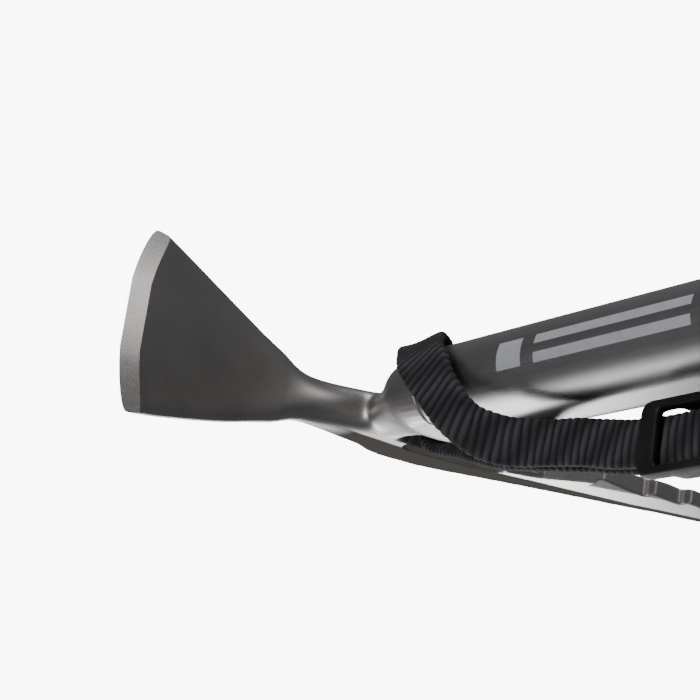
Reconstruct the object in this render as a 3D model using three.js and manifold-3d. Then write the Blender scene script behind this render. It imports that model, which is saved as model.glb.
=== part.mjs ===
// Mountaineering ice axe with a cast head, an oval tube shaft, a riveted spike and a webbing leash.
// Units are millimetres. +Z is up, the pick points to -X, the adze to +X and the spike hangs down.
// The axe is drawn on its shaft axis with the top of the head at z = 0, then moved so that the
// point it hangs from, the top of the carabiner hole, is the origin.

import * as THREE from "three";
import { ParametricGeometry } from "three/addons/geometries/ParametricGeometry.js";
import { RoundedBoxGeometry } from "three/addons/geometries/RoundedBoxGeometry.js";
import { mergeVertices } from "three/addons/utils/BufferGeometryUtils.js";
import Module from "manifold-3d";

const wasm = await Module();
wasm.setup();

// ---- driving dimensions ----
const GAP = 0.3; // kept between pieces that touch
const OVERALL = 600; // top of the head to the point of the spike
const HANG_X = -33; // the hanging point, under the top bar of the hole
const HANG_Z = -14.3;

const SHAFT_HALF_X = 16.4; // oval tube, half its long way, in the plane of the pick
const SHAFT_HALF_Y = 13;
const SHAFT_FLAT_Y = 12.6; // the sides of the oval are flattened to this half width
const PRESSED_FLAT_Y = 10.8; // and pressed in further where the tang is riveted
const PRESSED_END = -72;
const WALL = 1.6;
const TUBE_TOP = -56.3;
const TUBE_BOTTOM = -534.7;

const ADZE_RADIUS = 55.8; // cutting edge, seen square to the blade
const ADZE_CENTRE_X = 42.5;
const ADZE_SLOPE = 23; // degrees below square to the shaft, at the edge
const ADZE_BEVEL = 1.55; // run of the ground bevel for each millimetre of depth
const ADZE_MID_Z = -33.1; // middle of the blade's thickness below the middle of the edge

const PICK_HALF_TIP = 2.45; // half thickness of the outer pick
const PICK_ROOT = 6.5;
const FIRST_TOOTH = -94.5;
const TOOTH_PITCH = 12.7;
const TOOTH_COUNT = 6;
const TOOTH_LINE_SLOPE = 0.2;
const TOOTH_DEPTH = 3.4;

const RIVET_RADIUS = 2.6;
const HEAD_RIVETS = [-62, -74];
const SPIKE_RIVET = -518;
const LANYARD_Z = -560;
const LANYARD_RADIUS = 5.5;

const WEBBING = 16;
const WEBBING_THICK = 2.2;
const WEBBING_ROLLED = 12.6; // across the two legs where they run rolled beside the shaft
const LEG_OUTER_X = 4.1;
const LEG_INNER_X = -1.1;
const LEASH_Y = -26.5;
const LEGS_SEWN = -205; // the two legs are sewn into one strap here
const STRAP_END = -437;
const WRIST_TOP = -440;
const WRIST_BOTTOM = -562;
const WRIST_HALF = 32;
const BUCKLE_TOP = -139;
const BUCKLE_LONG = 32;
const BUCKLE_HALF_Y = 9.8;
const SLIDER_TOP = -462;

// ---- materials ----
const material = (color, roughness, metalness) =>
  new THREE.MeshStandardMaterial({ color, roughness, metalness });
const castSteel = material(0x8f8b87, 0.38, 1);
const anodised = material(0x5c5d60, 0.42, 0.9);
const rivetSteel = material(0x9a9a9a, 0.3, 1);
const webbing = material(0x18181b, 0.85, 0);
const plastic = material(0x070708, 0.35, 0);

// ---- helpers ----
const signedPower = (t, power) => Math.sign(t) * Math.abs(t) ** power;
const clamp = THREE.MathUtils.clamp;

// Reads a value between rows of [at, value, value, ...] that run in order.
function between(rows, at) {
  const rising = rows[rows.length - 1][0] > rows[0][0];
  const order = rising ? rows : [...rows].reverse();
  const next = clamp(order.findIndex((row) => row[0] >= at), 1, order.length - 1);
  const [a, b] = [order[next - 1], order[next]];
  const t = clamp((at - a[0]) / (b[0] - a[0]), 0, 1);
  return a.slice(1).map((value, k) => THREE.MathUtils.lerp(value, b[k + 1], t));
}

// Adds rows between the given ones on a smooth curve through them.
function finer(rows, parts) {
  const made = [];
  for (let k = 0; k < rows.length - 1; k += 1) {
    const [a, b] = [rows[k], rows[k + 1]];
    const before = rows[Math.max(k - 1, 0)];
    const after = rows[Math.min(k + 2, rows.length - 1)];
    for (let j = 0; j < parts; j += 1) {
      const t = j / parts;
      const blend = (value, i) => {
        const leave = (b[i] - before[i]) / 2;
        const arrive = (after[i] - value) / 2;
        const way = b[i] - value;
        return value + t * leave + t * t * (3 * way - 2 * leave - arrive)
          + t * t * t * (leave + arrive - 2 * way);
      };
      made.push(a.map(blend));
    }
  }
  return [...made, rows[rows.length - 1]];
}

// A closed skin over a row of rings, with flat ends.
function loft(stations, ringPoint, around = 32) {
  const last = stations.length - 1;
  const middle = (station) => {
    const sum = new THREE.Vector3();
    for (let k = 0; k < around; k += 1) sum.add(ringPoint(station, k / around));
    return sum.divideScalar(around);
  };
  const point = (u, v, target) => {
    const row = Math.round(u * (last + 2));
    const station = stations[clamp(row - 1, 0, last)];
    const capped = row === 0 || row === last + 2;
    target.copy(capped ? middle(station) : ringPoint(station, v % 1));
  };
  return new ParametricGeometry(point, last + 2, around);
}

// Turns a three.js geometry into a manifold solid, facing outwards.
function solid(geometry) {
  const bare = geometry.clone();
  bare.deleteAttribute("normal");
  bare.deleteAttribute("uv");
  const welded = mergeVertices(bare, 1e-4);
  const place = welded.attributes.position.array;
  const index = welded.index.array;
  const faces = [];
  let volume = 0;
  const corner = (i) => new THREE.Vector3().fromArray(place, 3 * i);
  for (let i = 0; i < index.length; i += 3) {
    const [a, b, c] = [index[i], index[i + 1], index[i + 2]];
    if (a === b || b === c || c === a) continue;
    faces.push(a, b, c);
    volume += corner(a).dot(corner(b).cross(corner(c)));
  }
  const triVerts = Uint32Array.from(volume < 0 ? faces.reverse() : faces);
  return new wasm.Manifold(
    new wasm.Mesh({ numProp: 3, vertProperties: Float32Array.from(place), triVerts }),
  );
}

function named(name, shape, look) {
  const made = shape.getMesh();
  const geometry = new THREE.BufferGeometry();
  geometry.setAttribute("position", new THREE.BufferAttribute(made.vertProperties, 3));
  geometry.setIndex(new THREE.BufferAttribute(made.triVerts, 1));
  geometry.computeVertexNormals();
  const mesh = new THREE.Mesh(geometry, look);
  mesh.name = name;
  return mesh;
}

function shapeOf(points) {
  return new THREE.Shape(points.map(([x, y]) => new THREE.Vector2(x, y)));
}

// An outline in x and z, made solid from y = -half to y = half.
function alongY(shape, half, curveSegments = 10) {
  const geometry = new THREE.ExtrudeGeometry(shape, {
    depth: 2 * half,
    bevelEnabled: false,
    curveSegments,
  });
  return solid(geometry.rotateX(Math.PI / 2).translate(0, half, 0));
}

// An outline in x and y, made solid between two heights.
function alongZ(shape, bottom, top, curveSegments = 10) {
  const geometry = new THREE.ExtrudeGeometry(shape, {
    depth: top - bottom,
    bevelEnabled: false,
    curveSegments,
  });
  return solid(geometry.translate(0, 0, bottom));
}

function pinAlongY(x, z, radius, half) {
  return solid(new THREE.CylinderGeometry(radius, radius, 2 * half, 28).translate(x, 0, z));
}

function block(x0, x1, y0, y1, z0, z1) {
  const box = new THREE.BoxGeometry(x1 - x0, y1 - y0, z1 - z0);
  return solid(box.translate((x0 + x1) / 2, (y0 + y1) / 2, (z0 + z1) / 2));
}

// ---- adze ----
// x, half width, underside, top, squareness of the section
const ADZE_ROWS = [
  [-16, 6.3, -15.0, -0.3, 0.1],
  [-8, 6.4, -19.5, -0.6, 0.16],
  [0, 6.5, -21.0, -1.2, 0.28],
  [7, 6.7, -19.0, -2.1, 0.5],
  [13, 6.9, -16.6, -2.9, 0.7],
  [20, 7.2, -14.8, -4.2, 0.85],
  [26, 8.6, -14.0, -6.2, 0.7],
  [32, 10.6, -14.5, -8.4, 0.55],
  [40, 13.0, -15.8, -11.2, 0.42],
  [48, 15.6, -17.8, -13.8, 0.36],
  [57, 18.2, -20.6, -17.0, 0.32],
  [67, 20.9, -24.2, -20.8, 0.3],
  [78, 23.7, -28.4, -25.1, 0.3],
  [90, 26.2, -33.4, -30.1, 0.3],
  [102, 28.0, -38.6, -35.3, 0.3],
];

function bladeRing([x, half, under, top, power], v) {
  const turn = 2 * Math.PI * v;
  return new THREE.Vector3(
    x,
    half * signedPower(Math.cos(turn), power),
    (top + under) / 2 + ((top - under) / 2) * signedPower(Math.sin(turn), power),
  );
}

function adzeBlade() {
  const rows = finer(ADZE_ROWS, 2);
  const split = rows.findIndex((row) => row[0] > 35);
  const root = solid(loft(rows.slice(0, split + 1), bladeRing, 40));
  const outer = solid(loft(rows.slice(split), bladeRing, 40));
  const reach = 9;
  const mid = ADZE_RADIUS - 2.5;
  const cone = new THREE.CylinderGeometry(
    mid + ADZE_BEVEL * reach,
    mid - ADZE_BEVEL * reach,
    2 * reach,
    160,
  );
  const slope = THREE.MathUtils.degToRad(ADZE_SLOPE);
  const run = ADZE_RADIUS * Math.cos(slope);
  cone.rotateX(Math.PI / 2).rotateY(slope);
  cone.translate(ADZE_CENTRE_X, 0, ADZE_MID_Z + run * Math.tan(slope));
  return root.add(outer.intersect(solid(cone)));
}

// ---- beam and pick ----
function toothOutline() {
  const points = [];
  for (let k = 0; k < TOOTH_COUNT; k += 1) {
    const x = FIRST_TOOTH - k * TOOTH_PITCH;
    const z = -36.2 - k * TOOTH_PITCH * TOOTH_LINE_SLOPE;
    points.push([x + 2.8, z + TOOTH_DEPTH]);
    points.push([x + 1.5, z + TOOTH_DEPTH + 0.4]);
    points.push([x + 0.5, z + TOOTH_DEPTH - 0.6]);
    points.push([x, z]);
  }
  return points;
}

const BEAM_TOP = [
  [-14, -0.3],
  [-29, 0],
  [-38, -1.0],
  [-46, -2.6],
  [-62, -6.2],
  [-78, -10.3],
  [-99, -15.9],
  [-119, -22.2],
  [-137, -28.6],
  [-152, -34.8],
  [-162, -40],
];
const PICK_TIP = [-168.5, -50.8];
const UNDERSIDE = [
  [-76, -33.2],
  [-60.5, -20.6],
  [-52, -18.2],
  [-20, -18.6],
  [-12.4, -19.4],
  [-6, -19.4],
  [-6, -3],
];
// The narrow bar that closes the carabiner hole from below.
const LOWER_BAR_HALF = 3;
const LOWER_BAR = [
  [-64, -19],
  [-61.5, -21.8],
  [-56, -23.4],
  [-22, -33],
  [-8, -34],
  [-4, -20],
  [-50, -14.5],
];
// x, half thickness
const PICK_PLAN = [
  [-4, PICK_ROOT],
  [-14, 6.4],
  [-29, 5.8],
  [-46, 4.8],
  [-62, 4.0],
  [-78, 3.4],
  [-99, 2.8],
  [-110, PICK_HALF_TIP],
  [-172, PICK_HALF_TIP],
];

function carabinerHole() {
  const outline = new THREE.Shape();
  outline.moveTo(-17.5, HANG_Z);
  outline.lineTo(-44, HANG_Z);
  outline.quadraticCurveTo(-52.5, -16.2, -46.5, -19.2);
  outline.lineTo(-20, -28.0);
  outline.quadraticCurveTo(-12.6, -30.4, -12.4, -24);
  outline.lineTo(-12.4, -19.4);
  outline.quadraticCurveTo(-12.6, HANG_Z, -17.5, HANG_Z);
  return outline;
}

// The bevel round the carabiner hole, on one face of the beam, which thins towards the pick.
function holeBevel(side) {
  const bevel = { depth: 14, bevelThickness: 1.5, bevelSize: 1.3, bevelSegments: 2 };
  const flare = new THREE.ExtrudeGeometry(carabinerHole(), { ...bevel, curveSegments: 10 });
  flare.rotateX(-Math.PI / 2).scale(1, 1, -1).translate(12.4, 6.6, 0);
  flare.rotateZ(0.044).translate(-12.4, 0, 0).scale(1, side, 1);
  return solid(flare);
}

// The ground chamfer beside the teeth, on one face of the pick.
function toothChamfer(side) {
  const wedge = shapeOf([
    [2.15, 0.6],
    [2.15, -9],
    [9, -9],
    [9, 7.2],
    [3.6, 7.2],
  ]);
  const long = 104;
  const bar = new THREE.ExtrudeGeometry(wedge, { depth: long, bevelEnabled: false });
  bar.rotateX(Math.PI / 2).rotateZ(Math.PI / 2).rotateZ(Math.PI);
  bar.applyMatrix4(new THREE.Matrix4().makeScale(1, side, 1));
  bar.rotateY(-Math.atan(TOOTH_LINE_SLOPE));
  bar.translate(-74, 0, -33.4);
  return solid(bar);
}

function beamAndPick() {
  const side = shapeOf([...BEAM_TOP, PICK_TIP, ...toothOutline().reverse(), ...UNDERSIDE]);
  const plan = shapeOf([
    ...PICK_PLAN.map(([x, half]) => [x, -half]),
    ...[...PICK_PLAN].reverse().map(([x, half]) => [x, half]),
  ]);
  const plate = alongY(side, 10).intersect(alongZ(plan, -70, 10));
  const pick = plate.subtract(toothChamfer(1)).subtract(toothChamfer(-1));
  return pick.add(alongY(shapeOf(LOWER_BAR), LOWER_BAR_HALF));
}

// ---- ferrule and tang ----
// z, middle in x, half length in x, half width in y, flat side in y
const FERRULE_ROWS = [
  [-10, -4.6, 6.2, 4.6, 4.6],
  [-18, -3.9, 7.7, 6.1, 6.1],
  [-22, -3.2, 8.9, 6.4, 6.4],
  [-27, -2.5, 10.0, 6.8, 6.8],
  [-32, -1.6, 11.5, 7.4, 7.4],
  [-37, -0.7, 13.2, 8.6, 8.4],
  [-41, 0.2, 15.0, 10.3, 9.6],
  [-45, 0.2, 15.8, 11.8, 10.8],
  [-50, 0, SHAFT_HALF_X, SHAFT_HALF_Y, PRESSED_FLAT_Y],
  [TUBE_TOP + GAP, 0, SHAFT_HALF_X, SHAFT_HALF_Y, PRESSED_FLAT_Y],
];

function ovalRing([z, x, halfX, halfY, flatY], v) {
  const turn = 2 * Math.PI * v;
  const y = halfY * Math.sin(turn);
  return new THREE.Vector3(x + halfX * Math.cos(turn), clamp(y, -flatY, flatY), z);
}

// Half width of the shaft's flattened sides at a height.
function flatAt(z) {
  return between(
    [
      [TUBE_TOP, PRESSED_FLAT_Y],
      [PRESSED_END, PRESSED_FLAT_Y],
      [PRESSED_END - 14, SHAFT_FLAT_Y],
      [TUBE_BOTTOM, SHAFT_FLAT_Y],
    ],
    z,
  )[0];
}

function shaftRow(z, inset) {
  return [z, 0, SHAFT_HALF_X - inset, SHAFT_HALF_Y - inset, flatAt(z) - inset];
}

function headCasting() {
  const ferrule = solid(loft(finer(FERRULE_ROWS, 2), ovalRing, 48));
  const inset = WALL + GAP + 0.1;
  const tangRows = [TUBE_TOP + 3, -62, -72].map((z) => shaftRow(z, inset));
  const tang = solid(loft([...tangRows, [-82, 0, 12.2, 7.2, 6.6]], ovalRing, 48));
  let head = adzeBlade().add(beamAndPick()).add(ferrule).add(tang);
  head = head.subtract(alongY(carabinerHole(), 20));
  head = head.subtract(holeBevel(1)).subtract(holeBevel(-1));
  for (const z of HEAD_RIVETS) {
    head = head.subtract(pinAlongY(0, z, RIVET_RADIUS + GAP, 20));
  }
  return head;
}

// ---- shaft ----
function shaftTube() {
  const levels = [TUBE_TOP, PRESSED_END, PRESSED_END - 7, PRESSED_END - 14, TUBE_BOTTOM];
  const outer = solid(loft(levels.map((z) => shaftRow(z, 0)), ovalRing, 48));
  const past = [TUBE_TOP + 2, ...levels.slice(1, -1), TUBE_BOTTOM - 2];
  const inner = solid(loft(past.map((z) => shaftRow(z, WALL)), ovalRing, 48));
  let tube = outer.subtract(inner);
  for (const z of [...HEAD_RIVETS, SPIKE_RIVET]) {
    tube = tube.subtract(pinAlongY(0, z, RIVET_RADIUS + GAP, 20));
  }
  return tube;
}

function rivet(z, half) {
  return pinAlongY(0, z, RIVET_RADIUS, half);
}

// ---- spike ----
function spikePoint() {
  const inset = WALL + GAP + 0.1;
  const plug = [-503, -520, TUBE_BOTTOM - 1].map((z) => shaftRow(z, inset));
  const rows = [
    [TUBE_BOTTOM - GAP, 0, SHAFT_HALF_X, SHAFT_HALF_Y, SHAFT_FLAT_Y],
    [-540, 0, SHAFT_HALF_X, SHAFT_HALF_Y, SHAFT_FLAT_Y],
    [-547, 0, 15.6, 9.4, 8.2],
    [-553, 0, 14.6, 5.6, 4.4],
    [-566, 0, 12.2, 4.6, 3.4],
    [-580, 0, 8.6, 4.0, 3.0],
    [-592, 0, 4.6, 3.0, 2.4],
    [-OVERALL, 0, 1.2, 1.1, 1.0],
  ];
  let spike = solid(loft(plug, ovalRing, 48)).add(solid(loft(rows, ovalRing, 48)));
  spike = spike.subtract(pinAlongY(0, LANYARD_Z, LANYARD_RADIUS, 20));
  return spike.subtract(pinAlongY(0, SPIKE_RIVET, RIVET_RADIUS + GAP, 20));
}

// ---- leash ----
// A strip of webbing along a smooth route. Each row is a point and the way across the strip there.
function strip(rows, width, thick, steps) {
  const route = new THREE.CatmullRomCurve3(rows.map(([p]) => new THREE.Vector3(...p)));
  const ways = new THREE.CatmullRomCurve3(rows.map(([, w]) => new THREE.Vector3(...w)));
  const stations = Array.from({ length: steps + 1 }, (_, k) => k / steps);
  const ring = (t, v) => {
    const along = route.getTangent(t);
    const across = ways.getPoint(t);
    across.addScaledVector(along, -across.dot(along)).normalize();
    const out = new THREE.Vector3().crossVectors(along, across);
    const turn = 2 * Math.PI * v;
    const point = route.getPoint(t);
    point.addScaledVector(across, (width(t) / 2) * signedPower(Math.cos(turn), 0.4));
    return point.addScaledVector(out, (thick(t) / 2) * signedPower(Math.sin(turn), 0.4));
  };
  return solid(loft(stations, ring, 12));
}

// Down one leg of the loop, round the shaft, through the hole and down the other leg.
const HEAD_LOOP = [
  [[LEG_OUTER_X, LEASH_Y, LEGS_SEWN], [0, 1, 0]],
  [[LEG_OUTER_X, LEASH_Y, -185], [0, 1, 0]],
  [[LEG_OUTER_X, LEASH_Y, -165], [0, 1, 0]],
  [[LEG_OUTER_X, LEASH_Y, -144], [0, 1, 0]],
  [[LEG_OUTER_X, -25.4, -130], [0, 1, 0]],
  [[4.7, -23, -115], [0, 1, 0]],
  [[6.4, -21.8, -101], [0, 1, -0.05]],
  [[10, -20.8, -91], [0.1, 0.93, -0.3]],
  [[13.6, -18.4, -84], [0.2, 0.7, -0.7]],
  [[16.6, -14.6, -79], [0.15, 0.52, -0.84]],
  [[18.6, -8.6, -73.5], [0.05, 0.4, -0.92]],
  [[19.3, -1.4, -67.5], [-0.05, 0.25, -0.96]],
  [[17.4, 5.4, -60], [-0.15, 0.3, -0.92]],
  [[12, 11.2, -52.5], [-0.2, 0.25, -0.92]],
  [[4, 13.4, -45], [-0.4, 0.05, -0.88]],
  [[-5.5, 12.8, -36.5], [-0.6, 0.05, -0.75]],
  [[-15.6, 9.8, -27.6], [-0.85, 0.1, -0.5]],
  [[-21.4, 5, -21.8], [-0.98, 0, -0.15]],
  [[-22.4, 0, -20.8], [-1, 0, 0]],
  [[-21.5, -4.4, -23], [-1, 0, -0.1]],
  [[-19.8, -6.6, -29], [-0.95, 0.25, -0.1]],
  [[-17.4, -8, -38], [-0.85, 0.45, -0.05]],
  [[-14.8, -9.8, -48], [-0.8, 0.6, 0]],
  [[-10.5, -13.8, -63], [-0.7, 0.7, 0]],
  [[-5.8, -17.4, -78], [-0.5, 0.85, 0]],
  [[-2.8, -20, -93], [-0.3, 0.93, 0]],
  [[-1.2, -22.6, -112], [0, 1, 0]],
  [[LEG_INNER_X, -25.4, -130], [0, 1, 0]],
  [[LEG_INNER_X, LEASH_Y, -144], [0, 1, 0]],
  [[LEG_INNER_X, LEASH_Y, -165], [0, 1, 0]],
  [[LEG_INNER_X, LEASH_Y, -185], [0, 1, 0]],
  [[LEG_INNER_X, LEASH_Y, LEGS_SEWN], [0, 1, 0]],
];

function headLoop() {
  const width = (t) => {
    const middle = THREE.MathUtils.smoothstep(0.5 - Math.abs(t - 0.5), 0.2, 0.4);
    return THREE.MathUtils.lerp(WEBBING_ROLLED, WEBBING - 2, middle);
  };
  return strip(HEAD_LOOP, width, () => WEBBING_THICK, 76);
}

const LEASH_X = (LEG_OUTER_X + LEG_INNER_X) / 2;

function leashStrap() {
  const rows = [
    [[LEASH_X, LEASH_Y, LEGS_SEWN - GAP], [0, 1, 0]],
    [[LEASH_X, LEASH_Y, -260], [0, 1, 0]],
    [[LEASH_X, LEASH_Y, -320], [0, 1, 0]],
    [[LEASH_X, LEASH_Y, -380], [0, 1, 0]],
    [[LEASH_X, LEASH_Y, STRAP_END], [0, 1, 0]],
  ];
  return strip(rows, () => WEBBING, () => WEBBING_THICK, 8);
}

// The wrist loop: two legs side by side that open into a drop shape.
function wristLoop() {
  const leg = 3.1;
  const half = [
    [leg, WRIST_TOP - 1.5],
    [leg, -455],
    [leg, -475],
    [leg, -492],
    [5.6, -502],
    [19, -517],
    [WRIST_HALF - 2, -534],
    [WRIST_HALF - 6, -551],
    [13, -560],
  ];
  const points = [
    [0, WRIST_TOP],
    ...half,
    [0, WRIST_BOTTOM],
    ...[...half].reverse().map(([x, z]) => [-x, z]),
  ];
  const route = new THREE.CatmullRomCurve3(
    points.map(([x, z]) => new THREE.Vector3(LEASH_X + x, LEASH_Y, z)),
    true,
    "centripetal",
  );
  const around = 12;
  const steps = 72;
  const ring = (u, v, target) => {
    const along = route.getTangent(u % 1);
    const out = new THREE.Vector3(along.z, 0, -along.x);
    const turn = 2 * Math.PI * (v % 1);
    target.copy(route.getPoint(u % 1));
    target.y += (WEBBING / 2) * signedPower(Math.cos(turn), 0.4);
    target.addScaledVector(out, (WEBBING_THICK / 2) * signedPower(Math.sin(turn), 0.4));
  };
  return solid(new ParametricGeometry(ring, steps, around));
}

// A frame whose end bars pass in front of the outer leg and whose middle bar passes behind it.
function slideBuckle() {
  const [y0, y1] = [LEASH_Y - BUCKLE_HALF_Y, LEASH_Y + BUCKLE_HALF_Y];
  const face = LEG_OUTER_X + WEBBING_THICK / 2;
  const back = LEG_OUTER_X - WEBBING_THICK / 2;
  const [near, far] = [face + 0.4, face + 3];
  const rail = 2.8;
  const bar = 6.5;
  const [top, bottom] = [BUCKLE_TOP, BUCKLE_TOP - BUCKLE_LONG];
  const middle = (top + bottom) / 2;
  let frame = block(near, far, y0, y1, top - bar, top)
    .add(block(near, far, y0, y1, bottom, bottom + bar))
    .add(block(back - 2.6, back - 0.4, y0, y1, middle - 3, middle + 3));
  for (const low of [y0, y1 - rail]) {
    frame = frame
      .add(block(face - 0.8, far, low, low + rail, bottom, top))
      .add(block(back - 2.6, far, low, low + rail, middle - 5, middle + 5));
  }
  const outer = new RoundedBoxGeometry(
    far - back + 5, 2 * BUCKLE_HALF_Y, BUCKLE_LONG, 6, 3.4,
  );
  return frame.intersect(solid(outer.translate((far + back) / 2 - 1.3, LEASH_Y, middle)));
}

// A moulded sleeve round both legs of the wrist loop.
function wristSlider() {
  const outer = block(
    LEASH_X - 6.8, LEASH_X + 6.8,
    LEASH_Y - WEBBING / 2 - 3, LEASH_Y + WEBBING / 2 + 3,
    SLIDER_TOP - 12, SLIDER_TOP,
  );
  const slot = block(
    LEASH_X - 4.6, LEASH_X + 4.6,
    LEASH_Y - WEBBING / 2 - 0.5, LEASH_Y + WEBBING / 2 + 0.5,
    SLIDER_TOP - 14, SLIDER_TOP + 2,
  );
  return outer.subtract(slot);
}

// ---- assembly ----
const axe = new THREE.Group();
axe.name = "axe_on_its_shaft_axis";
axe.position.set(-HANG_X, 0, -HANG_Z);
axe.add(
  named("head_casting", headCasting(), castSteel),
  named("shaft_tube", shaftTube(), anodised),
  named("head_rivet_upper", rivet(HEAD_RIVETS[0], PRESSED_FLAT_Y), rivetSteel),
  named("head_rivet_lower", rivet(HEAD_RIVETS[1], PRESSED_FLAT_Y), rivetSteel),
  named("spike_point", spikePoint(), castSteel),
  named("spike_rivet", rivet(SPIKE_RIVET, SHAFT_FLAT_Y), rivetSteel),
  named("leash_head_loop", headLoop(), webbing),
  named("leash_strap", leashStrap(), webbing),
  named("leash_wrist_loop", wristLoop(), webbing),
  named("leash_slide_buckle", slideBuckle(), plastic),
  named("leash_wrist_slider", wristSlider(), plastic),
);

const part = new THREE.Group();
part.name = "ice_axe";
part.add(axe);
export default part;
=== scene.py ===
"""An ice axe hanging in a pale studio: cast head, oval tube shaft, riveted spike and webbing leash.

Everything is in metres in the frame of the CAD model. +Z runs up the shaft, the pick points to -X
and the adze to +X.
"""
import math

import bmesh
import bpy
import numpy as np
from mathutils import Matrix, Vector


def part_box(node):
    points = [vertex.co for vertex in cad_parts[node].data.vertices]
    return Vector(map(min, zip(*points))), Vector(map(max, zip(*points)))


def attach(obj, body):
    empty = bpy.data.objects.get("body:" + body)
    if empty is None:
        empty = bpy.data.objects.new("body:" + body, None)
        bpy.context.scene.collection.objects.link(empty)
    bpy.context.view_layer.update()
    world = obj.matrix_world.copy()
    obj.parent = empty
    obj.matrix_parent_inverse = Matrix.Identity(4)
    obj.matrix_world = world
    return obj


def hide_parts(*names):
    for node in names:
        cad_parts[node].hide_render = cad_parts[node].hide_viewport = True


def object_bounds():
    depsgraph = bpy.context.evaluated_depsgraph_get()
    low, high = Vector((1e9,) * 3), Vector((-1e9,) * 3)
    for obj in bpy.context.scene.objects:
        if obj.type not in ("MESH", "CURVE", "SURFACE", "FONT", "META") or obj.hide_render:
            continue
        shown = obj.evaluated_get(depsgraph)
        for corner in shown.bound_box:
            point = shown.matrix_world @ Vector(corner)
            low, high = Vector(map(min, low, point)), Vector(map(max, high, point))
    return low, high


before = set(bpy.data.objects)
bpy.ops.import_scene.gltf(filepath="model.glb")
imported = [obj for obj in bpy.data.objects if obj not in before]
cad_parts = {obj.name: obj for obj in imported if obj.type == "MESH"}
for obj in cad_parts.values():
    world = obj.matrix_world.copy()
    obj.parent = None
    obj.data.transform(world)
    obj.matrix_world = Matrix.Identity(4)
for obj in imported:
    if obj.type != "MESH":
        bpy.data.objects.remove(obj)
cad_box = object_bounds()
MM = 0.001

# The axe is described on its shaft axis, in millimetres, with the top of the head at zero height.
shaft_low, shaft_high = (Vector(corner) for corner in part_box("shaft_tube"))
AXIS_X = (shaft_low.x + shaft_high.x) / 2
HEAD_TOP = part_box("head_casting")[1][2]


def place(x, y, z):
    """A point on the axe, from millimetres on its shaft axis to metres in the frame."""
    return (AXIS_X + x * MM, y * MM, HEAD_TOP + z * MM)


# ---- camera ----
CAMERA_AT = (0.3695, -0.1649, -0.4900)
CAMERA_RIGHT = Vector((-0.7997, 0.1384, -0.5842))
CAMERA_UP = Vector((0.2826, 0.9453, -0.1629))
CAMERA_BACK = CAMERA_RIGHT.cross(CAMERA_UP).normalized()

lens = bpy.data.cameras.new("camera")
lens.lens = 108.57
lens.sensor_width = 36
lens.clip_start = 0.01
camera = bpy.data.objects.new("camera", lens)
bpy.context.collection.objects.link(camera)
turn = Matrix((CAMERA_RIGHT, CAMERA_UP, CAMERA_BACK)).transposed()
camera.matrix_world = Matrix.Translation(CAMERA_AT) @ turn.to_4x4()
bpy.context.scene.camera = camera


# ---- mesh helpers ----
def new_piece(name, points, faces, material, body="axe"):
    mesh = bpy.data.meshes.new(name)
    mesh.from_pydata([tuple(p) for p in points], [], [tuple(f) for f in faces])
    mesh.update()
    mesh.polygons.foreach_set("use_smooth", [True] * len(mesh.polygons))
    mesh.materials.append(material)
    piece = bpy.data.objects.new(name, mesh)
    bpy.context.collection.objects.link(piece)
    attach(piece, body)
    return piece


def skin(rings, around, closed=False, capped=True):
    """Faces over a row of rings that each have the same number of points."""
    faces = []
    rows = rings if closed else rings - 1
    for i in range(rows):
        for j in range(around):
            a = i * around + j
            b = i * around + (j + 1) % around
            c = ((i + 1) % rings) * around + (j + 1) % around
            d = ((i + 1) % rings) * around + j
            faces.append((a, b, c, d))
    if capped and not closed:
        faces.append(tuple(reversed(range(around))))
        faces.append(tuple(range((rings - 1) * around, rings * around)))
    return faces


def ramp(value, low, high):
    """Rises smoothly from 0 at low to 1 at high."""
    t = np.clip((value - low) / (high - low), 0, 1)
    return t * t * (3 - 2 * t)


def signed_power(value, power):
    return np.sign(value) * np.abs(value) ** power


def curve_through(points, steps, closed=False):
    """A centripetal Catmull-Rom curve, sampled at even steps of its length."""
    p = np.array(points, float)
    count = len(p)
    if closed:
        p = np.vstack([p[-1], p, p[0], p[1]])
    else:
        p = np.vstack([2 * p[0] - p[1], p, 2 * p[-1] - p[-2]])
    spans = count if closed else count - 1
    out = []
    for k in range(spans):
        p0, p1, p2, p3 = p[k : k + 4]
        t0 = 0.0
        t1 = t0 + np.linalg.norm((p1 - p0)[:3]) ** 0.5
        t2 = t1 + np.linalg.norm((p2 - p1)[:3]) ** 0.5
        t3 = t2 + np.linalg.norm((p3 - p2)[:3]) ** 0.5
        for t in np.linspace(t1, t2, 24, endpoint=False):
            a1 = (t1 - t) / (t1 - t0) * p0 + (t - t0) / (t1 - t0) * p1
            a2 = (t2 - t) / (t2 - t1) * p1 + (t - t1) / (t2 - t1) * p2
            a3 = (t3 - t) / (t3 - t2) * p2 + (t - t2) / (t3 - t2) * p3
            b1 = (t2 - t) / (t2 - t0) * a1 + (t - t0) / (t2 - t0) * a2
            b2 = (t3 - t) / (t3 - t1) * a2 + (t - t1) / (t3 - t1) * a3
            out.append((t2 - t) / (t2 - t1) * b1 + (t - t1) / (t2 - t1) * b2)
    out.append(out[0] if closed else p[-2])
    out = np.array(out)
    length = np.concatenate([[0], np.cumsum(np.linalg.norm(np.diff(out[:, :3], axis=0), axis=1))])
    even = np.linspace(0, length[-1], steps + 1)
    made = np.stack([np.interp(even, length, out[:, i]) for i in range(out.shape[1])], axis=1)
    return made, even


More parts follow.
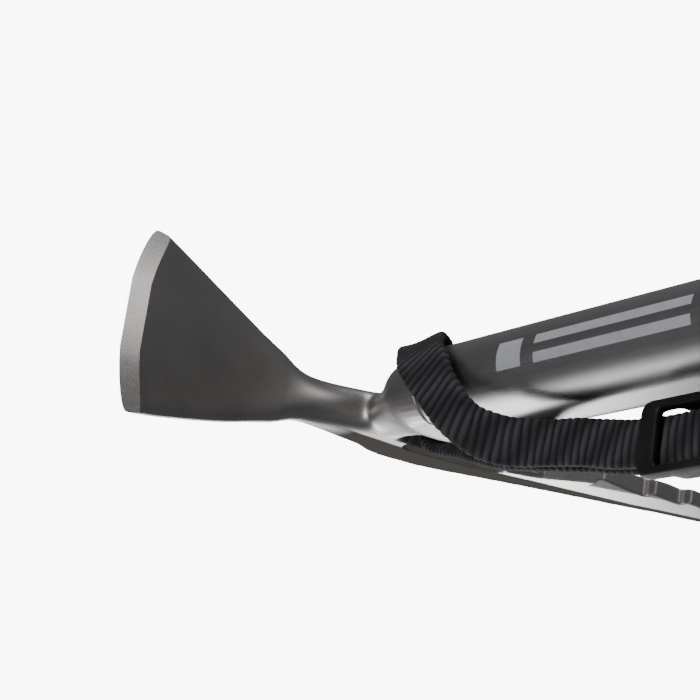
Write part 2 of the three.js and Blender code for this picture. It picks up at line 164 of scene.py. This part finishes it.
# ---- material helpers ----
class Nodes:
    """A node material that is built from the shader backwards."""

    def __init__(self, name):
        self.material = bpy.data.materials.new(name)
        self.material.use_nodes = True
        self.tree = self.material.node_tree
        self.shader = self.tree.nodes["Principled BSDF"]

    def add(self, kind, **settings):
        node = self.tree.nodes.new(kind)
        for key, value in settings.items():
            setattr(node, key, value)
        return node

    def link(self, a, b):
        self.tree.links.new(a, b)

    def set(self, name, value):
        self.shader.inputs[name].default_value = value

    def math(self, operation, a, b=None, clamp=False):
        node = self.add("ShaderNodeMath", operation=operation, use_clamp=clamp)
        for socket, value in zip(node.inputs, (a, b)):
            if value is None:
                continue
            if isinstance(value, (int, float)):
                socket.default_value = value
            else:
                self.link(value, socket)
        return node.outputs[0]

    def noise(self, scale, detail=4, roughness=0.55, vector=None):
        node = self.add("ShaderNodeTexNoise")
        node.inputs["Scale"].default_value = scale
        node.inputs["Detail"].default_value = detail
        node.inputs["Roughness"].default_value = roughness
        self.link(vector or self.place(), node.inputs["Vector"])
        return node.outputs["Fac"]

    def place(self, scale=(1, 1, 1)):
        where = self.add("ShaderNodeTexCoord").outputs["Object"]
        if scale == (1, 1, 1):
            return where
        mapping = self.add("ShaderNodeMapping")
        mapping.inputs["Scale"].default_value = scale
        self.link(where, mapping.inputs["Vector"])
        return mapping.outputs["Vector"]

    def span(self, value, low, high, out_low=0.0, out_high=1.0):
        node = self.add("ShaderNodeMapRange")
        keys = ("From Min", "From Max", "To Min", "To Max")
        for key, number in zip(keys, (low, high, out_low, out_high)):
            node.inputs[key].default_value = number
        self.link(value, node.inputs["Value"])
        return node.outputs["Result"]

    def colours(self, factor, a, b):
        node = self.add("ShaderNodeMix", data_type="RGBA")
        sockets = [s for s in node.inputs if s.type == "RGBA"]
        for socket, value in zip(sockets, (a, b)):
            if isinstance(value, tuple):
                socket.default_value = (*value, 1)
            else:
                self.link(value, socket)
        self.link(factor, node.inputs["Factor"])
        return [s for s in node.outputs if s.type == "RGBA"][0]

    def bump(self, height, strength, distance, normal=None):
        node = self.add("ShaderNodeBump")
        node.inputs["Strength"].default_value = strength
        node.inputs["Distance"].default_value = distance
        self.link(height, node.inputs["Height"])
        if normal:
            self.link(normal, node.inputs["Normal"])
        return node.outputs["Normal"]

    def attribute(self, name):
        return self.add("ShaderNodeAttribute", attribute_name=name).outputs["Fac"]

    def finish(self, colour=None, roughness=None, normal=None):
        for name, value in (("Base Color", colour), ("Roughness", roughness), ("Normal", normal)):
            if value is not None:
                self.link(value, self.shader.inputs[name])
        return self.material


def blasted_steel():
    """Fine blasted steel. It is brighter where the ground finish is marked, and a dull blackish grey
    without metal sheen where the rim's painted shade is marked.
    """
    m = Nodes("blasted_steel")
    ground, painted_rim_shade = m.attribute("ground"), m.attribute("painted_rim_shade")
    # Where the rim's painted shade is marked, the steel loses its metal and specular sheen.
    m.link(m.math("SUBTRACT", 1.0, painted_rim_shade), m.shader.inputs["Metallic"])
    m.link(m.span(painted_rim_shade, 0, 1, 0.5, 0.0), m.shader.inputs["Specular IOR Level"])
    grain = m.noise(2600, 3, 0.6)
    cloud = m.noise(45, 4, 0.6)
    blasted = m.colours(m.span(cloud, 0.3, 0.7), (0.30, 0.292, 0.287), (0.345, 0.336, 0.330))
    # Painted shade: the pick's rim gets a dull blackish grey in place of the lit steel colour.
    blasted = m.colours(painted_rim_shade, blasted, (0.105, 0.098, 0.091))
    speck = m.colours(m.span(grain, 0.35, 0.7), (0.46, 0.445, 0.43), (0.70, 0.68, 0.66))
    colour = m.colours(ground, blasted, speck)
    rough = m.math("ADD", m.span(cloud, 0.3, 0.7, 0.40, 0.45), m.span(grain, 0.3, 0.7, -0.03, 0.04))
    streaks = m.noise(900, 3, 0.6, m.place((1, 0.12, 1)))
    grit = m.bump(grain, 0.15, 0.00005)
    normal = m.bump(m.math("MULTIPLY", streaks, ground), 0.30, 0.00006, grit)
    return m.finish(colour, rough, normal)


def anodised_aluminium():
    """Dark satin anodising with a pale printed mark of plain bars on the side under the adze."""
    m = Nodes("anodised_aluminium")
    m.set("Metallic", 1.0)
    axes = m.add("ShaderNodeSeparateXYZ")
    m.link(m.place(), axes.inputs[0])
    x, y, z = axes.outputs

    def within(value, low, high):
        edge = 0.00008
        up = m.span(value, low - edge, low + edge)
        down = m.span(value, high - edge, high + edge, 1.0, 0.0)
        return m.math("MULTIPLY", up, down)

    aside = m.math("ABSOLUTE", y)
    front = m.math("GREATER_THAN", x, AXIS_X)
    bars = m.math("MULTIPLY", within(aside, 0.0012, 0.0038), within(z, -0.148, -0.092))
    block = m.math("MULTIPLY", within(aside, -0.001, 0.0038), within(z, -0.087, -0.0775))
    mark = m.math("MULTIPLY", m.math("ADD", bars, block, clamp=True), front)
    wear = m.span(m.noise(420, 5, 0.6), 0.25, 0.5)
    mark = m.math("MULTIPLY", mark, m.span(wear, 0.0, 1.0, 0.82, 1.0))
    grain = m.noise(900, 3, 0.6, m.place((1, 1, 0.05)))
    tone = m.colours(m.span(m.noise(30), 0.3, 0.7), (0.27, 0.27, 0.28), (0.31, 0.31, 0.32))
    colour = m.colours(mark, tone, (0.36, 0.37, 0.40))
    rough = m.math("ADD", m.span(grain, 0.3, 0.7, 0.34, 0.40), m.math("MULTIPLY", mark, 0.2))
    metal = m.math("SUBTRACT", 1.0, m.math("MULTIPLY", mark, 0.85))
    m.link(metal, m.shader.inputs["Metallic"])
    return m.finish(colour, rough, m.bump(grain, 0.12, 0.00003))


def plain_steel():
    m = Nodes("plain_steel")
    m.set("Metallic", 1.0)
    cloud = m.noise(220, 4, 0.6)
    colour = m.colours(m.span(cloud, 0.3, 0.7), (0.42, 0.42, 0.42), (0.56, 0.56, 0.55))
    rough = m.span(cloud, 0.3, 0.7, 0.25, 0.4)
    return m.finish(colour, rough, m.bump(m.noise(1800, 3), 0.2, 0.00003))


def woven_webbing():
    """Black nylon. The map has metres across the strip in u and along it in v."""
    m = Nodes("woven_webbing")
    m.set("Sheen Weight", 0.04)
    m.set("Sheen Roughness", 0.5)
    m.set("Specular IOR Level", 0.12)
    along = m.add("ShaderNodeUVMap", uv_map="weave").outputs["UV"]
    axes = m.add("ShaderNodeSeparateXYZ")
    m.link(along, axes.inputs[0])
    u, v = axes.outputs[0], axes.outputs[1]
    threads = m.math("SINE", m.math("MULTIPLY", u, 2 * math.pi / 0.00062))
    picks = m.math("SINE", m.math("MULTIPLY", v, 2 * math.pi / 0.00085))
    weave = m.math("MULTIPLY", threads, picks)
    fuzz = m.noise(1500, 4, 0.7)
    height = m.math("ADD", m.math("MULTIPLY", weave, 0.35), m.math("ADD", fuzz, m.noise(520, 3, 0.6)))
    tone = m.colours(m.span(fuzz, 0.3, 0.75), (0.0015, 0.0015, 0.002), (0.009, 0.009, 0.011))
    # Painted highlight: the rib crowns are coloured lighter than the grooves, standing in for light
    # catching the ribs.
    crown = m.attribute("crown")
    colour = m.colours(m.math("POWER", crown, 2.0), tone, (0.050, 0.050, 0.057))
    rough = m.span(fuzz, 0.3, 0.7, 0.62, 0.8)
    return m.finish(colour, rough, m.bump(height, 0.5, 0.00014))


def moulded_plastic():
    m = Nodes("moulded_plastic")
    m.set("Specular IOR Level", 0.22)
    cloud = m.noise(160, 3, 0.5)
    colour = m.colours(m.span(cloud, 0.3, 0.7), (0.0035, 0.0035, 0.004), (0.008, 0.008, 0.009))
    rough = m.span(cloud, 0.3, 0.7, 0.45, 0.55)
    return m.finish(colour, rough, m.bump(m.noise(1300, 3, 0.6), 0.25, 0.00004))


STEEL = blasted_steel()
ANODISED = anodised_aluminium()
RIVET = plain_steel()
WEBBING = woven_webbing()
PLASTIC = moulded_plastic()

# ---- leash ----
WIDTH = 0.016
THICK = 0.0025
RIB = 0.0026  # length of one rib along the webbing
RIB_DEPTH, RIB_EDGE = 0.0006, 0.00035  # how far the grooves go in on the faces and on the edges
RING_STEP, RING_POINTS = 0.00042, 28
FLAT_SECTION = 0.45  # squareness of the section of flat webbing
LEG_OUTER_X, LEG_INNER_X, LEASH_Y = 4.1, -1.1, -26.5
LEASH_X = (LEG_OUTER_X + LEG_INNER_X) / 2
SEWN = -205

# A point of the route and the way across the webbing there.
HEAD_LOOP = [
    ((LEG_OUTER_X, LEASH_Y, SEWN), (0, 1, 0)),
    ((LEG_OUTER_X, LEASH_Y, -185), (0, 1, 0)),
    ((LEG_OUTER_X, LEASH_Y, -165), (0, 1, 0)),
    ((LEG_OUTER_X, LEASH_Y, -144), (0, 1, 0)),
    ((LEG_OUTER_X, -25.4, -130), (0, 1, 0)),
    ((4.7, -23, -115), (0, 1, 0)),
    ((6.4, -21.8, -101), (0, 1, -0.05)),
    ((10, -20.8, -91), (0.1, 0.93, -0.3)),
    ((13.6, -18.4, -84), (0.2, 0.7, -0.7)),
    ((16.6, -14.6, -79), (0.15, 0.52, -0.84)),
    ((18.6, -8.6, -73.5), (0.05, 0.4, -0.92)),
    ((19.3, -1.4, -67.5), (-0.05, 0.25, -0.96)),
    ((17.4, 5.4, -60), (-0.15, 0.3, -0.92)),
    ((12, 11.2, -52.5), (-0.2, 0.25, -0.92)),
    ((4, 13.4, -45), (-0.4, 0.05, -0.88)),
    ((-5.5, 12.8, -36.5), (-0.6, 0.05, -0.75)),
    ((-15.6, 9.8, -27.6), (-0.85, 0.1, -0.5)),
    ((-21.4, 5, -21.8), (-0.98, 0, -0.15)),
    ((-22.4, 0, -20.8), (-1, 0, 0)),
    ((-21.5, -4.4, -23), (-1, 0, -0.1)),
    ((-19.8, -6.6, -29), (-0.95, 0.25, -0.1)),
    ((-17.4, -8, -38), (-0.85, 0.45, -0.05)),
    ((-14.8, -9.8, -48), (-0.8, 0.6, 0)),
    ((-10.5, -13.8, -63), (-0.7, 0.7, 0)),
    ((-5.8, -17.4, -78), (-0.5, 0.85, 0)),
    ((-2.8, -20, -93), (-0.3, 0.93, 0)),
    ((-1.2, -22.6, -112), (0, 1, 0)),
    ((LEG_INNER_X, -25.4, -130), (0, 1, 0)),
    ((LEG_INNER_X, LEASH_Y, -144), (0, 1, 0)),
    ((LEG_INNER_X, LEASH_Y, -165), (0, 1, 0)),
    ((LEG_INNER_X, LEASH_Y, -185), (0, 1, 0)),
    ((LEG_INNER_X, LEASH_Y, SEWN), (0, 1, 0)),
]


def webbing_strip(name, route, across, width, thick, squareness, closed=False):
    """Ribbed webbing along a route. width, thick and squareness are functions of 0 to 1 along it."""
    around = RING_POINTS
    rough_length = np.sum(np.linalg.norm(np.diff(np.array(route), axis=0), axis=1))
    steps = int(rough_length / RING_STEP)
    both = np.hstack([np.array(route, float), np.array(across, float)])
    line, along = curve_through(both, steps, closed)
    centre, way = line[:, :3], line[:, 3:]
    ahead = np.gradient(centre, axis=0)
    if closed:
        ahead[0] = ahead[-1] = centre[1] - centre[-2]
    ahead /= np.linalg.norm(ahead, axis=1)[:, None]
    way = way - np.sum(way * ahead, axis=1)[:, None] * ahead
    way /= np.linalg.norm(way, axis=1)[:, None]
    out = np.cross(ahead, way)
    t = along / along[-1]
    ribs = round(along[-1] / RIB)
    turns = 2 * np.pi * np.arange(around) / around
    # The picks lie a little unevenly, so each rib drifts and swells along its length.
    drift = 0.055 * np.sin(along[:, None] / 0.0031 + 2.6 * np.cos(turns))
    drift += 0.035 * np.sin(along[:, None] / 0.0013 - 4.3 * np.cos(turns))
    swell = 0.82 + 0.18 * np.sin(along[:, None] / 0.0022 + 3.4 * np.cos(turns))
    crown = np.abs(np.sin(np.pi * (ribs * t[:, None] + drift))) ** 0.6 * swell
    power = np.array([squareness(k) for k in t])[:, None]
    cos, sin = np.cos(turns)[None, :], np.sin(turns)[None, :]
    side = signed_power(cos, power)
    face = signed_power(sin, power)
    half_width = np.array([width(k) / 2 for k in t])[:, None] - RIB_EDGE + RIB_EDGE * crown
    half_thick = np.array([thick(k) / 2 for k in t])[:, None] - RIB_DEPTH + RIB_DEPTH * crown
    points = (
        centre[:, None, :]
        + (half_width * side)[:, :, None] * way[:, None, :]
        + (half_thick * face)[:, :, None] * out[:, None, :]
    )
    rings = steps if closed else steps + 1
    flat = points[:rings].reshape(-1, 3)
    piece = new_piece(name, flat, skin(rings, around, closed), WEBBING)
    mesh = piece.data
    # The rib crowns are kept as an attribute for the webbing's painted highlight.
    shade = mesh.attributes.new("crown", "FLOAT", "POINT")
    shade.data.foreach_set("value", crown[:rings].ravel().astype(np.float32))
    u = np.tile(np.abs(turns / np.pi - 1) * WIDTH, rings)
    v = np.repeat(along[:rings], around)
    corners = np.zeros(len(mesh.loops), dtype=np.int32)
    mesh.loops.foreach_get("vertex_index", corners)
    weave = mesh.uv_layers.new(name="weave")
    weave.data.foreach_set("uv", np.stack([u, v], axis=1)[corners].astype(np.float32).ravel())
    path = [tuple(p) for p in centre[:: max(1, steps // 120)]] + [tuple(centre[-1])]
    return piece, path, float(along[-1])


LEG_SECTION = (0.0128, 0.0038, 0.62)  # width, thickness and squareness on the straight legs
ROUND_SECTION = (0.0154, 0.0030, 0.42)  # and where the webbing goes round the shaft


def toward_middle(t):
    """0 on the straight legs of the head loop and 1 where it goes round the shaft."""
    return ramp(0.5 - abs(t - 0.5), 0.24, 0.38)


def loop_section(k):
    """One of the three numbers of the section, as a function along the head loop."""
    leg, middle = LEG_SECTION[k], ROUND_SECTION[k]
    return lambda t: leg + (middle - leg) * toward_middle(t)


head_loop, head_path, head_length = webbing_strip(
    "leash_head_webbing",
    [place(*p) for p, _ in HEAD_LOOP],
    [w for _, w in HEAD_LOOP],
    loop_section(0),
    loop_section(1),
    loop_section(2),
)
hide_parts("leash_head_loop")

# The strap is sewn between the legs above it and lapped onto the wrist loop below.
STRAP_TOP, STRAP_END = SEWN + 2.5, -441
strap, strap_path, strap_length = webbing_strip(
    "leash_strap_webbing",
    [place(LEASH_X, LEASH_Y, z) for z in (STRAP_TOP, -260, -320, -380, STRAP_END)],
    [(0, 1, 0)] * 5,
    lambda t: WIDTH,
    lambda t: THICK,
    lambda t: FLAT_SECTION,
)
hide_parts("leash_strap")

WRIST_TOP, WRIST_BOTTOM = -440, -562
# One side of the wrist loop: distance from its middle line, height.
WRIST_HALF = [
    (3.1, WRIST_TOP - 1.5),
    (3.1, -455),
    (3.1, -475),
    (3.1, -492),
    (5.6, -502),
    (19, -517),
    (30, -534),
    (26, -551),
    (13, -560),
]
other_half = [(-x, z) for x, z in reversed(WRIST_HALF)]
wrist_sides = [(0, WRIST_TOP), *WRIST_HALF, (0, WRIST_BOTTOM), *other_half]
wrist, wrist_path, wrist_length = webbing_strip(
    "leash_wrist_webbing",
    [place(LEASH_X + x, LEASH_Y, z) for x, z in wrist_sides],
    [(0, 1, 0)] * len(wrist_sides),
    lambda t: WIDTH,
    lambda t: THICK,
    lambda t: FLAT_SECTION,
    closed=True,
)
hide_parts("leash_wrist_loop")


# ---- pieces made from a CAD solid, remeshed finely and rounded ----
def fine_copy(name, node, voxel, material, body="axe"):
    source = bpy.data.objects.new(name + "_source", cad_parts[node].data.copy())
    bpy.context.collection.objects.link(source)
    remesh = source.modifiers.new("remesh", "REMESH")
    remesh.mode = "VOXEL"
    remesh.voxel_size = voxel
    graph = bpy.context.evaluated_depsgraph_get()
    mesh = bpy.data.meshes.new_from_object(source.evaluated_get(graph))
    bpy.data.objects.remove(source)
    mesh.name = name
    mesh.materials.clear()
    mesh.materials.append(material)
    mesh.polygons.foreach_set("use_smooth", [True] * len(mesh.polygons))
    piece = bpy.data.objects.new(name, mesh)
    bpy.context.collection.objects.link(piece)
    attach(piece, body)
    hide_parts(node)
    return piece


def read_points(mesh):
    points = np.zeros(3 * len(mesh.vertices), dtype=np.float64)
    mesh.vertices.foreach_get("co", points)
    return points.reshape(-1, 3)


def relax(mesh, amount, times):
    """Moves each point towards the mean of its neighbours, by amount, which may differ by point."""
    points = read_points(mesh)
    edges = np.zeros(2 * len(mesh.edges), dtype=np.int64)
    mesh.edges.foreach_get("vertices", edges)
    a, b = edges.reshape(-1, 2).T
    count = np.bincount(np.concatenate([a, b]), minlength=len(points))[:, None]
    amount = np.broadcast_to(np.asarray(amount, float).reshape(-1, 1), (len(points), 1))
    for _ in range(times):
        total = np.stack(
            [
                np.bincount(a, points[b, k], len(points)) + np.bincount(b, points[a, k], len(points))
                for k in range(3)
            ],
            axis=1,
        )
        points += amount * (total / count - points)
    mesh.vertices.foreach_set("co", points.ravel())
    mesh.update()
    return points


# ---- head ----
ADZE_CENTRE_X, ADZE_MID_Z, ADZE_SLOPE = 42.5, -33.1, math.radians(23)
ADZE_RADIUS, ADZE_BEVEL, BEVEL_MIDDLE = 55.8, 1.55, 53.3
BLADE_START = 30
# x, half width, underside, top, squareness of the section
ADZE_ROWS = np.array([
    (7, 6.7, -19.0, -2.1, 0.5),
    (13, 6.9, -16.6, -2.9, 0.7),
    (20, 7.2, -14.8, -4.2, 0.85),
    (26, 8.6, -14.0, -6.2, 0.7),
    (32, 10.6, -14.5, -8.4, 0.55),
    (40, 13.0, -15.8, -11.2, 0.42),
    (48, 15.6, -17.8, -13.8, 0.36),
    (57, 18.2, -20.6, -17.0, 0.32),
    (67, 20.9, -24.2, -20.8, 0.3),
    (78, 23.7, -28.4, -25.1, 0.3),
    (90, 26.2, -33.4, -30.1, 0.3),
    (102, 28.0, -38.6, -35.3, 0.3),
])


def cone_gap(x, y, z):
    """How far outside the cone that cuts the edge of the adze a point is, along the blade."""
    x = x - ADZE_CENTRE_X
    z = z - ADZE_MID_Z - ADZE_RADIUS * math.sin(ADZE_SLOPE)
    out = x * math.cos(ADZE_SLOPE) - z * math.sin(ADZE_SLOPE)
    up = x * math.sin(ADZE_SLOPE) + z * math.cos(ADZE_SLOPE)
    return np.sign(out) * np.hypot(out, y) - (BEVEL_MIDDLE + ADZE_BEVEL * up)


head = fine_copy("head_forging", "head_casting", 0.00036, STEEL)
points = read_points(head.data)
x = (points[:, 0] - AXIS_X) / MM
z = (points[:, 2] - HEAD_TOP) / MM
near_neck = ramp(x, -10, -4) * ramp(-x, -30, -22) * ramp(z, -48, -40)
relax(head.data, 0.5 * near_neck, 220)
relax(head.data, 0.35, 2)

shell = bmesh.new()
shell.from_mesh(head.data)
past = [v for v in shell.verts if v.co.x > AXIS_X + (BLADE_START + 2) * MM]
bmesh.ops.delete(shell, geom=past, context="VERTS")
shell.to_mesh(head.data)
shell.free()

# The blade is swept from the neck out to the edge, so that the edge and its bevel stay sharp.
blade_line, _ = curve_through(ADZE_ROWS, 900)
order = np.argsort(blade_line[:, 0])
blade_line = blade_line[order]
AROUND = 96
turns = 2 * np.pi * (np.arange(AROUND) + 0.5) / AROUND


def blade_point(x):
    """The ring's points where each one has its own x."""
    half, under, top, power = (
        np.interp(x, blade_line[:, 0], blade_line[:, k]) for k in range(1, 5)
    )
    y = half * signed_power(np.cos(turns), power)
    return y, (top + under) / 2 + (top - under) / 2 * signed_power(np.sin(turns), power)


reach = np.full(AROUND, 92.0)
for _ in range(60):
    reach -= 0.5 * cone_gap(reach, *blade_point(reach))
blade_rings = []
for part in np.concatenate([np.linspace(0, 0.9, 60, endpoint=False), np.linspace(0.9, 1, 8)]):
    x = BLADE_START + (reach - BLADE_START) * part
    y, z = blade_point(x)
    blade_rings.append(np.stack([AXIS_X + x * MM, y * MM, HEAD_TOP + z * MM], axis=1))
blade_rings.append(blade_rings[-1])
rim_start = (len(blade_rings) - 1) * AROUND
blade_faces = skin(len(blade_rings) - 1, AROUND, capped=False)
blade_faces += [
    (rim_start + j, rim_start + j + 1, rim_start + AROUND - 2 - j, rim_start + AROUND - 1 - j)
    for j in range(AROUND // 2 - 1)
]
blade = new_piece("adze_blade", np.vstack(blade_rings), blade_faces, STEEL)

# Along the pick the face is ground below a rim that narrows from the hole to the tip; the rim's shade
# is painted into its colour.
RIM_LINE = [
    (-172, -49.5), (-137, -33.4), (-110, -24.4), (-99, -21.6), (-78, -18.2), (-50, -15), (0, -15),
]
PICK_HALF = [(-110, 2.45), (-99, 2.8), (-62, 4.0), (-29, 5.8), (-4, 6.5)]


def along_x(x, line):
    at, value = np.array(line, float).T
    return np.interp(x, at, value)


for piece in (head, blade):
    points = read_points(piece.data)
    x = (points[:, 0] - AXIS_X) / MM
    y = points[:, 1] / MM
    z = (points[:, 2] - HEAD_TOP) / MM
    on_face = ramp(np.abs(y) - along_x(x, PICK_HALF), -0.45, -0.2) * ramp(-x, -14, -4)
    rim = along_x(x, RIM_LINE)
    in_rim = ramp(z - rim, -0.3, 0.3)
    # The rim band is marked for painted shade; the face below it gets the ground finish.
    painted_rim_shade = on_face * in_rim
    ground = on_face * (1 - in_rim) * ramp(-x, 44, 56)
    if piece == blade:
        ground[rim_start:] = 1.0
    for name, value in (("ground", ground), ("painted_rim_shade", painted_rim_shade)):
        shade = piece.data.attributes.new(name, "FLOAT", "POINT")
        shade.data.foreach_set("value", value.astype(np.float32))

# ---- shaft ----
HALF_X, HALF_Y, FLAT_Y, PRESSED_Y = 16.4, 13.0, 12.6, 10.8
TUBE_TOP, TUBE_BOTTOM, WALL = -56.3, -534.7, 1.6
PRESSED_END = -72


SHAFT_POINTS = 144
PRESSED_RADIUS = 11  # of the rounded end of the pressed flat
SOFT_EDGE = 0.35  # rounding where a flat meets the oval


def shaft_ring(height, inset):
    turn = 2 * np.pi * np.arange(SHAFT_POINTS) / SHAFT_POINTS
    x = (HALF_X - inset) * np.cos(turn)
    y = (HALF_Y - inset) * np.sin(turn)
    end = PRESSED_RADIUS * np.sqrt(np.clip(1 - (x / PRESSED_RADIUS) ** 2, 0, 1))
    pressed = ramp(height - (PRESSED_END - end), -3.0, 3.0)
    flat = FLAT_Y + (PRESSED_Y - FLAT_Y) * pressed - inset
    over = np.abs(y) - flat
    rounded = np.where(over > -SOFT_EDGE, (over + SOFT_EDGE) ** 2 / (4 * SOFT_EDGE), 0)
    cut = np.where(over >= SOFT_EDGE, over, rounded)
    y = np.sign(y) * (np.abs(y) - cut)
    level = np.full(SHAFT_POINTS, HEAD_TOP + height * MM)
    return np.stack([AXIS_X + x * MM, y * MM, level], axis=1)


levels = np.concatenate([np.linspace(TUBE_TOP, -120, 90), np.linspace(-124, TUBE_BOTTOM, 60)])
rings = [shaft_ring(level, 0) for level in levels]
rings += [shaft_ring(level, WALL) for level in levels[::-6]]
shaft_faces = skin(len(rings), SHAFT_POINTS, closed=True)
shaft = new_piece("shaft_skin", np.vstack(rings), shaft_faces, ANODISED)
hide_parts("shaft_tube")

# ---- spike, rivets, buckles ----
spike = fine_copy("spike_forging", "spike_point", 0.0006, STEEL)
relax(spike.data, 0.5, 8)
for node in ("head_rivet_upper", "head_rivet_lower", "spike_rivet"):
    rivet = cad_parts[node]
    rivet.data.materials.clear()
    rivet.data.materials.append(RIVET)

buckle = fine_copy(
    "slide_buckle_frame", "leash_slide_buckle", 0.0003, PLASTIC, "slide_buckle"
)
relax(buckle.data, 0.5, 30)
slider = fine_copy(
    "wrist_slider_sleeve", "leash_wrist_slider", 0.0003, PLASTIC, "wrist_slider"
)
relax(slider.data, 0.5, 14)

# ---- studio ----
MIDDLE = Vector((0.03, 0.0, -0.04))


def softbox(name, right, up, back, distance, size, power):
    """A flat light that faces the axe from a direction given along the camera's axes."""
    way = (right * CAMERA_RIGHT + up * CAMERA_UP + back * CAMERA_BACK).normalized()
    lamp = bpy.data.lights.new(name, "AREA")
    lamp.shape = "RECTANGLE"
    lamp.size, lamp.size_y = size
    lamp.energy = power
    light = bpy.data.objects.new(name, lamp)
    bpy.context.collection.objects.link(light)
    facing = way.to_track_quat("Z", "Y").to_matrix().to_4x4()
    light.matrix_world = Matrix.Translation(MIDDLE + distance * way) @ facing


softbox("softbox_left_front", -0.60, 0.10, 0.75, 0.9, (0.30, 0.35), 5)
softbox("softbox_left_below", -0.42, -0.75, -0.51, 0.9, (0.45, 0.24), 4.5)
softbox("softbox_low_back", 0.02, -0.58, -0.82, 0.9, (0.30, 0.12), 1.5)
softbox("softbox_right_front", 0.75, 0.50, 0.55, 1.0, (0.4, 0.4), 3)
softbox("softbox_above", -0.1, 1.0, 0.0, 1.0, (0.5, 0.5), 4)

FLOOR_HALF, FLOOR_DROP = 2.0, 0.35
floor_z = cad_box[0][2] - FLOOR_DROP
corners = [(-1, -1), (1, -1), (1, 1), (-1, 1)]
floor_points = [(sx * FLOOR_HALF, sy * FLOOR_HALF, floor_z) for sx, sy in corners]
floor_mesh = bpy.data.meshes.new("studio_floor")
floor_mesh.from_pydata(floor_points, [], [(0, 1, 2, 3)])
paper = Nodes("studio_paper")
paper.set("Roughness", 0.9)
paper_tone = paper.colours(paper.noise(3), (0.78, 0.78, 0.78), (0.82, 0.82, 0.82))
floor_mesh.materials.append(paper.finish(paper_tone))
studio_floor = bpy.data.objects.new("studio_floor", floor_mesh)
bpy.context.collection.objects.link(studio_floor)
studio_floor.visible_glossy = False

# The surroundings are bright where the camera sees them and dim where the axe reflects them.
SEEN_STRENGTH, REFLECTED_STRENGTH = 9.0, 0.17
world = bpy.data.worlds.new("studio")
bpy.context.scene.world = world
world.use_nodes = True
tree = world.node_tree
background = tree.nodes["Background"]
background.inputs["Color"].default_value = (1, 1, 1, 1)
seen = tree.nodes.new("ShaderNodeLightPath").outputs["Is Camera Ray"]
strength = tree.nodes.new("ShaderNodeMapRange")
strength.inputs["To Min"].default_value = REFLECTED_STRENGTH
strength.inputs["To Max"].default_value = SEEN_STRENGTH
tree.links.new(seen, strength.inputs["Value"])
tree.links.new(strength.outputs["Result"], background.inputs["Strength"])
